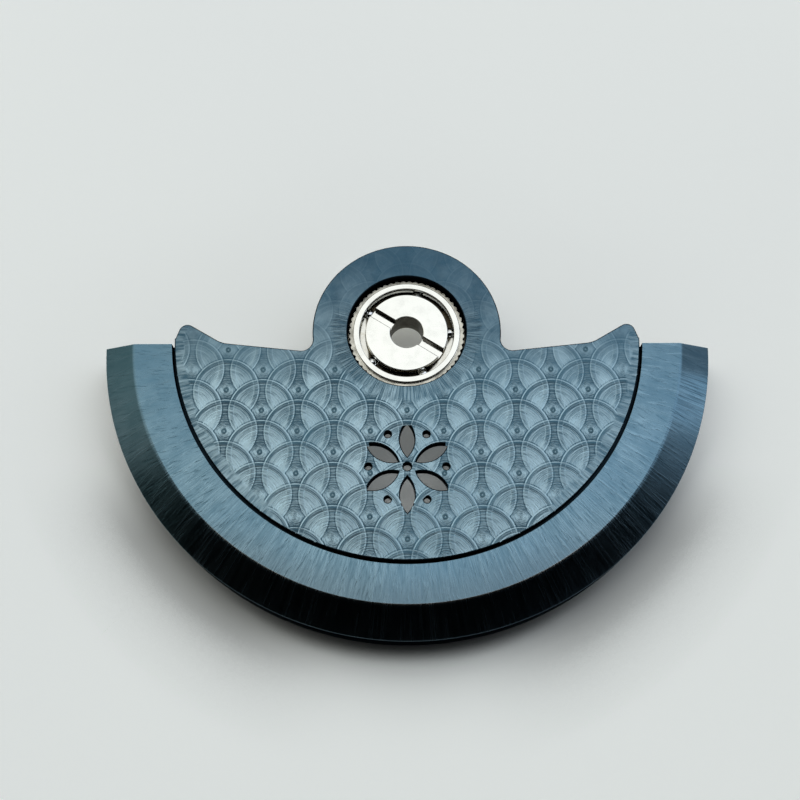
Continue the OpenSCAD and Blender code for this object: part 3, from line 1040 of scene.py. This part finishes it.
def outer_race(metal, teeth_metal):
    root = KNURL_ROOT_R
    centre = Vector((BALL_CIRCLE_R, BALL_Z))
    groove = [(*(centre + polar(GROOVE_R, a)), 0) for a in range(58, -59, -4)]
    b = RACE_BEVEL
    profile = rounded([
        (LIP_R, BEARING_TOP, b), (LIP_R, groove[0][1], 0),
        *groove[1:-1],
        (LIP_R, groove[-1][1], 0), (LIP_R, RACE_Z, 0.02),
        (GEAR_SEAT_R, RACE_Z, 0.02), (GEAR_SEAT_R, KNURL_Z, 0),
        (-0.03, KNURL_Z, 0, 1), (0, KNURL_Z + 0.03, 0, 1), (0, KNURL_TOP - 0.035, 0, 1),
        (-0.012, KNURL_TOP - 0.012, 0, 1), (-0.035, KNURL_TOP, 0, 1),
        (RACE_R + 0.012, KNURL_TOP, 0.01), (RACE_R, KNURL_TOP, 0), (RACE_R, BEARING_TOP, b),
    ])
    rise = KNURL_TIP_R - KNURL_ROOT_R
    corners = ((0, root), (0.12, root + 0.3 * rise), (0.34, root + 0.95 * rise), (0.42, root + rise),
               (0.58, root + rise), (0.66, root + 0.95 * rise), (0.88, root + 0.3 * rise))
    body = Body()
    lathe(body, profile, toothed(KNURLS, corners), lambda a, c: 1 if a[2] or c[2] else 0)
    piece = fix_normals(body.object("outer_ring", [metal, teeth_metal]))
    return dress(piece, "rotor", "bearing_steel", "outer_race")


def involute(r, base):
    if r <= base:
        return 0
    a = math.acos(base / r)
    return math.tan(a) - a


def gear(metal):
    pitch_r = GEAR_MODULE * GEAR_TEETH / 2
    base = pitch_r * math.cos(math.radians(PRESSURE_ANGLE))
    radii = [pitch_r + GEAR_MODULE * k for k in (-1.2, -0.5, 0.1, 0.6, 1.0)]
    half = math.pi / 2 / GEAR_TEETH + involute(pitch_r, base)
    flank = [((half - involute(r, base)) * GEAR_TEETH / (2 * math.pi), r) for r in radii]
    corners = [(0.5 - share, r) for share, r in flank]
    corners += [(0.5 + share, r) for share, r in reversed(flank)]
    profile = rounded([
        (GEAR_BORE_R, RACE_Z, 0.02), (-0.02, RACE_Z, 0, 1), (0, RACE_Z + 0.02, 0, 1),
        (0, RACE_Z + GEAR_T - 0.02, 0, 1), (-0.02, RACE_Z + GEAR_T, 0, 1),
        (GEAR_BORE_R, RACE_Z + GEAR_T, 0.02),
    ])
    body = Body()
    lathe(body, profile, toothed(GEAR_TEETH, corners))
    piece = fix_normals(body.object("gear", [metal]))
    return dress(piece, "rotor", "gear_steel", "drive_gear")


def core(metal, wall_painted_shade):
    profile = rounded([
        (BORE_R, 0, 0.03), (FOOT_R, 0, 0.04), (FOOT_R, RACE_Z, 0), (CONE_R, RACE_Z, 0.03),
        (CONE_R, BALL_Z - CONE_RISE, 0.02), (CONE_ROOT_R, BALL_Z, 0), (SLEEVE_R, BALL_Z, 0),
        (SLEEVE_R, SLEEVE_TOP, 0.02), (BORE_R, SLEEVE_TOP, 0),
    ])
    body = Body()
    lathe(body, profile, around(180), lambda a, c: 1 if max(a[0], c[0]) < BORE_R + 0.001 else 0)
    piece = fix_normals(body.object("inner_core", [metal, wall_painted_shade]))
    return dress(piece, "inner_race", "bearing_steel", "inner_race_core")


def slot_cutter():
    """Bar that cuts the driver slot and chamfers its edges."""
    body = Body()
    half = SLOT_W / 2
    reach = half + SLOT_BEVEL + 1
    levels = (
        (half, BEARING_TOP - SLOT_DEPTH), (half, BEARING_TOP - SLOT_BEVEL), (reach, BEARING_TOP + 1),
    )
    loops = [body.loop([(-3, -w), (3, -w), (3, w), (-3, w)], z) for w, z in levels]
    body.face(loops[0][::-1])
    body.face(loops[-1])
    for low, high in zip(loops, loops[1:]):
        body.bridge(low, high)
    cutter = body.object("slot_cutter", [])
    cutter.rotation_euler.z = math.radians(SLOT_TURN)
    return cutter


def apply_modifiers(piece):
    graph = bpy.context.evaluated_depsgraph_get()
    mesh = bpy.data.meshes.new_from_object(piece.evaluated_get(graph))
    piece.modifiers.clear()
    piece.data = mesh


def cone(metal, wall_painted_shade):
    profile = rounded([
        (SLEEVE_R + SLEEVE_FIT, BALL_Z, 0), (CONE_ROOT_R, BALL_Z, 0),
        (CONE_R, BALL_Z + CONE_RISE, 0.02), (CONE_R, BEARING_TOP, 0.03),
        (BORE_R, BEARING_TOP, 0.03), (BORE_R, SLEEVE_TOP, 0),
        (SLEEVE_R + SLEEVE_FIT, SLEEVE_TOP, 0),
    ])
    body = Body()
    lathe(body, profile, around(180))
    piece = body.object("inner_cone", [metal, wall_painted_shade])
    cutter = slot_cutter()
    cut = piece.modifiers.new("slot", "BOOLEAN")
    cut.object = cutter
    cut.solver = "EXACT"
    apply_modifiers(piece)
    bpy.data.objects.remove(cutter)
    slot_side = polar(1 / MM, SLOT_TURN + 90)
    for face in piece.data.polygons:
        tilt = abs(face.normal.z)
        if tilt > 0.999:
            face.use_smooth = False
        # The slot's walls and the bore take the material painted dark as shade
        on_slot = abs(abs(slot_side.dot(face.center.to_2d())) - SLOT_W / 2) < 2 * SLOT_BEVEL
        if tilt < (0.9 if on_slot else 0.3) and face.center.to_2d().length < (CONE_R - 0.03) * MM:
            face.material_index = 1
    fix_normals(piece)
    return dress(piece, "inner_race", "bearing_steel", "inner_race_cone")


def ball(i, metal):
    letter = "abcde"[i]
    place = polar(BALL_CIRCLE_R, BALL_TURN + i * 360 / BALLS)
    body = Body()
    rings = 24
    profile = []
    for k in range(rings + 1):
        a = math.pi * k / rings - math.pi / 2
        profile.append((max(0.0004, BALL_R * math.cos(a)), BALL_Z + BALL_R * math.sin(a), 0))
    lathe(body, profile, around(48))
    body.points = [(x + place.x, y + place.y, z) for x, y, z in body.points]
    piece = fix_normals(body.object(f"ball_{letter}_polished", [metal]))
    return dress(piece, f"ball_{letter}", "ball_steel", f"ball_{i + 1}")


def floor():
    size = FLOOR_SIZE
    body = Body()
    body.face(body.loop([(-size, -size), (size, -size), (size, size), (-size, size)], RIM_Z))
    piece = body.object("floor", [floor_paint()])


def window_light():
    """Wide soft lamp behind the object. It lights the board; the metal mirrors the world instead."""
    place = Vector(LAMP_PLACE) * MM
    light = bpy.data.lights.new("window", "AREA")
    light.shape = "RECTANGLE"
    light.size, light.size_y = (side * MM for side in LAMP_SIZE)
    light.energy = LAMP_POWER
    lamp = bpy.data.objects.new("window", light)
    lamp.location = place
    lamp.rotation_euler = (-place).to_track_quat("-Z", "Y").to_euler()
    lamp.visible_glossy = False
    bpy.context.scene.collection.objects.link(lamp)


def studio_world():
    """Soft room: a bright ceiling that grows dimmer towards the back, bright sides,
    and the dark of whoever looks on at the front."""
    world = bpy.data.worlds.new("studio")
    bpy.context.scene.world = world
    n = Nodes(world, "Background")
    x, y, z = n.split(n.node("ShaderNodeTexCoord").outputs["Generated"])
    aside = n.math("ABSOLUTE", x)
    ceiling = n.mul(n.step(y, 0.34, 0.5, 1.24, 0.85), n.step(x, -0.36, 0.0, 0.86, 1.0))
    level = n.mix(n.step(y, 0.6, 0.8), ceiling, 0.5)
    right = n.step(y, 0.2, 0.36, 1.6, 0.8)
    side = n.mix(n.math("LESS_THAN", x, 0.0), right, 0.8)
    level = n.mix(n.step(aside, 0.62, 0.8), level, n.mul(side, n.step(y, 0.4, 0.6, 1.0, 0.5)))
    ahead = n.add(y, n.step(aside, 0.62, 0.85, -0.08, 0.08))
    front = n.mul(n.step(ahead, -0.04, 0.1, 1.0, 0.0), n.step(z, 0.27, 0.43))
    level = n.mix(front, level, 0.0)
    low = n.step(y, -0.3, 0.3, 0.26, 0.5)
    level = n.mix(n.step(z, 0.1, 0.4, 1.0, 0.0), level, low)
    tint = n.blend(n.step(x, -0.7, 0.7), (1.0, 1.0, 0.93, 1), (0.93, 1.0, 1.1, 1))
    n.finish(Color=n.blend(level, (0, 0, 0, 1), tint), Strength=WORLD_STRENGTH)


def camera():
    """The photograph's view, fitted to the outlines in it."""
    az = math.radians(CAMERA_AZ)
    el = math.radians(CAMERA_EL)
    back = Vector((math.sin(az) * math.cos(el), -math.cos(az) * math.cos(el), math.sin(el)))
    right = Vector((0, 0, 1)).cross(back).normalized()
    up = back.cross(right)
    turn = math.radians(CAMERA_ROLL)
    right, up = (
        math.cos(turn) * right + math.sin(turn) * up,
        math.cos(turn) * up - math.sin(turn) * right,
    )
    data = bpy.data.cameras.new("camera")
    data.sensor_width = SENSOR
    data.lens = CAMERA_F / FRAME_PX * SENSOR
    data.shift_x = CAMERA_SHIFT / FRAME_PX
    data.clip_start = 0.5 * MM
    data.clip_end = 5
    holder = bpy.data.objects.new("camera", data)
    holder.matrix_world = Matrix.LocRotScale(
        (Vector(CAMERA_AIM) + back * CAMERA_D) * MM,
        Matrix((right, up, back)).transposed().to_quaternion(),
        None,
    )
    bpy.context.scene.collection.objects.link(holder)
    bpy.context.scene.camera = holder


camera()
studio_world()
floor()
window_light()

field_metal = engraved_metal()
# The sides and bevels of the plate and rim are painted dark: painted shade
plate_side_painted_shade = milled_metal("plate_side", rgb(16, 24, 30), rgb(34, 46, 54))
rim_side_painted_shade = milled_metal("rim_side", rgb(12, 20, 26), rgb(30, 43, 52))
race_metal = polished_steel("race_polished", (236, 235, 228), 0.03)
teeth_metal = polished_steel("teeth_bright", (228, 224, 210), 0.05, 0.34)
cone_metal = polished_steel("cone_lapped", (238, 237, 230), 0.03)
core_metal = polished_steel("core_turned", (214, 208, 192), 0.05, 0.18)
# Walls of the bore and the driver slot, painted dark as shade
wall_painted_shade = polished_steel("bored_wall_painted_shade", (92, 88, 78), 0.04, 0.3)
rivet_metal = polished_steel("rivet_turned", (186, 190, 192), 0.05, 0.24)
ball_metal = polished_steel("ball_mirror", (240, 242, 244), 0.2, 0.04, 0.0)

plate()
engraving()
rim()
for index in range(RIVETS):
    rivet(index, rivet_metal)
outer_race(race_metal, teeth_metal)
gear(gear_metal())
core(core_metal, wall_painted_shade)
cone(cone_metal, wall_painted_shade)
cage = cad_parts["ball_cage"]
cage.data.materials.clear()
cage.data.materials.append(cage_metal())
for index in range(BALLS):
    ball(index, ball_metal)

bpy.context.scene.view_settings.view_transform = "Standard"
